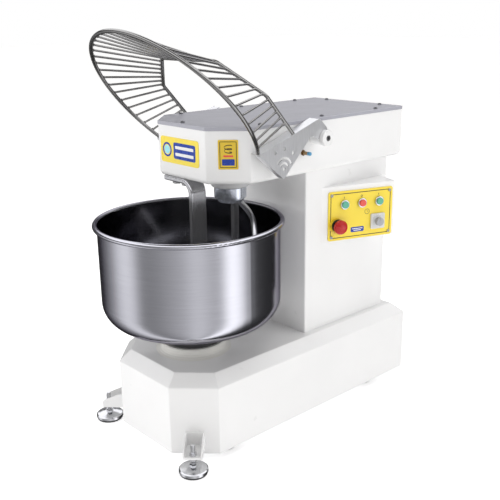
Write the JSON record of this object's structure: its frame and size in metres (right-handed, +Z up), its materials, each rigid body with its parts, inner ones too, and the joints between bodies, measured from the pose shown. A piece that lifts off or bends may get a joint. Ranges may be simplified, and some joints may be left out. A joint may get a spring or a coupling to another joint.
{
  "type": "commercial stand mixer",
  "caption": "Floor-standing spiral dough mixer with a turning bowl, spiral hook, breaker bar, hinged wire guard and side control box.",
  "frame": {"origin": "bottom centre of the whole machine with the guard raised, on the floor", "axes": "+Z up, -Y toward the operator, +X toward the control box"},
  "size_m": [0.5508, 1.013, 1.1767],
  "materials": {
    "white_paint": "gloss",
    "cream_paint": "gloss",
    "grey_paint": "satin",
    "lid_paint": "gloss",
    "black_paint": "satin",
    "yellow_paint": "gloss",
    "label_yellow": "gloss",
    "bowl_steel": "polished",
    "wire_steel": "polished",
    "plate_steel": "brushed",
    "tool_steel": "polished",
    "fastener_steel": "satin",
    "shaft_steel": "machined",
    "chrome": "mirror",
    "cast": "machined",
    "motor_paint": "painted",
    "brass": "satin",
    "belt_rubber": "matt",
    "pad_rubber": "matt",
    "wheel_tread": "matt",
    "black_plastic": "matt",
    "green_plastic": "gloss",
    "red_plastic": "gloss",
    "grey_plastic": "satin",
    "blue_plastic": "gloss",
    "white_plastic": "gloss"
  },
  "bodies": {
    "machine": {"base_casing": "white_paint", "chassis_plate": "grey_paint", "column_casing": "white_paint", "rear_cover": "white_paint", "rear_cover_screws": "fastener_steel", "head_casing": "white_paint", "head_lid": "lid_paint", "lid_screws": "fastener_steel", "front_badge": "label_yellow", "label_plate": "label_yellow", "breaker_bar": "tool_steel", "breaker_bolts": "fastener_steel", "spiral_housing": "grey_paint", "spiral_bearings": "shaft_steel", "spiral_belts": "belt_rubber", "spiral_motor": "motor_paint", "bowl_chain": "fastener_steel", "bowl_gearmotor": "motor_paint", "bowl_bearing": "cast", "pedestal_ring": "cream_paint", "pivot_bosses": "white_plastic", "pivot_pins": "fastener_steel", "pivot_caps": "white_plastic", "guard_sensor": "brass", "guard_sensor_tip": "blue_plastic", "control_box": "white_paint", "control_panel": "yellow_paint", "panel_screws": "fastener_steel", "button_bezels": "chrome", "estop_base": "black_plastic", "timer_body": "grey_plastic", "foot_brackets": "white_paint", "foot_studs": "chrome", "foot_pads": "pad_rubber", "caster_forks": "fastener_steel"},
    "bowl_group": {"bowl": "bowl_steel", "bowl_flange": "black_paint", "bowl_flange_bolts": "fastener_steel", "bowl_shaft": "shaft_steel", "bowl_sprocket": "shaft_steel"},
    "bowl_drive": {"drive_sprocket": "shaft_steel"},
    "spiral_group": {"spiral_shaft": "shaft_steel", "spiral_hub": "chrome", "spiral_hook": "tool_steel", "spiral_pulley": "cast"},
    "spiral_drive": {"motor_pulley": "cast"},
    "guard": {"guard_outer_ring": "wire_steel", "guard_inner_ring": "wire_steel", "guard_rods": "wire_steel", "guard_plate_right": "plate_steel", "guard_plate_left": "plate_steel"},
    "button_left": {"button_left": "green_plastic"},
    "button_centre": {"button_centre": "red_plastic"},
    "button_right": {"button_right": "green_plastic"},
    "estop": {"estop_button": "red_plastic"},
    "timer_dial": {"timer_knob": "grey_plastic"},
    "wheel_front_left": {"wheel_front_left": "wheel_tread"},
    "wheel_front_right": {"wheel_front_right": "wheel_tread"},
    "wheel_rear_left": {"wheel_rear_left": "wheel_tread"},
    "wheel_rear_right": {"wheel_rear_right": "wheel_tread"}
  },
  "joints": [
    {"name": "bowl_spin", "type": "hinge", "parent": "machine", "child": "bowl_group", "pos_m": [0, -0.2335, 0.3], "axis": [0, 0, 1], "continuous": true},
    {"name": "bowl_drive_spin", "type": "hinge", "parent": "machine", "child": "bowl_drive", "pos_m": [0, 0.1565, 0.231], "axis": [0, 0, 1], "continuous": true},
    {"name": "spiral_spin", "type": "hinge", "parent": "machine", "child": "spiral_group", "pos_m": [0, -0.0765, 0.7], "axis": [0, 0, 1], "continuous": true},
    {"name": "spiral_drive_spin", "type": "hinge", "parent": "machine", "child": "spiral_drive", "pos_m": [0, 0.2665, 0.8], "axis": [0, 0, 1], "continuous": true},
    {"name": "guard_hinge", "type": "hinge", "parent": "machine", "child": "guard", "pos_m": [0, 0.0805, 0.87], "axis": [1, 0, 0], "range_deg": [0, 48]},
    {"name": "button_left_press", "type": "slide", "parent": "machine", "child": "button_left", "axis": [-0.9389, 0.3443, 0], "range_m": [0, 0.003], "stiffness_N_per_m": 500, "springref_m": -0.002},
    {"name": "button_centre_press", "type": "slide", "parent": "machine", "child": "button_centre", "axis": [-0.9389, 0.3443, 0], "range_m": [0, 0.003], "stiffness_N_per_m": 500, "springref_m": -0.002},
    {"name": "button_right_press", "type": "slide", "parent": "machine", "child": "button_right", "axis": [-0.9389, 0.3443, 0], "range_m": [0, 0.003], "stiffness_N_per_m": 500, "springref_m": -0.002},
    {"name": "estop_press", "type": "slide", "parent": "machine", "child": "estop", "axis": [-0.9389, 0.3443, 0], "range_m": [0, 0.005]},
    {"name": "timer_turn", "type": "hinge", "parent": "machine", "child": "timer_dial", "pos_m": [0.24349, 0.31632, 0.586], "axis": [0.9389, -0.3443, 0], "range_deg": [-300, 0]},
    {"name": "wheel_front_left_roll", "type": "hinge", "parent": "machine", "child": "wheel_front_left", "pos_m": [-0.182, -0.2585, 0.0375], "axis": [1, 0, 0], "continuous": true},
    {"name": "wheel_front_right_roll", "type": "hinge", "parent": "machine", "child": "wheel_front_right", "pos_m": [0.182, -0.2585, 0.0375], "axis": [1, 0, 0], "continuous": true},
    {"name": "wheel_rear_left_roll", "type": "hinge", "parent": "machine", "child": "wheel_rear_left", "pos_m": [-0.182, 0.3515, 0.0375], "axis": [1, 0, 0], "continuous": true},
    {"name": "wheel_rear_right_roll", "type": "hinge", "parent": "machine", "child": "wheel_rear_right", "pos_m": [0.182, 0.3515, 0.0375], "axis": [1, 0, 0], "continuous": true}
  ],
  "couplings": [
    {"joint": "bowl_drive_spin", "follows": "bowl_spin", "ratio": 2.1176},
    {"joint": "spiral_drive_spin", "follows": "spiral_spin", "ratio": 3.2727}
  ]
}
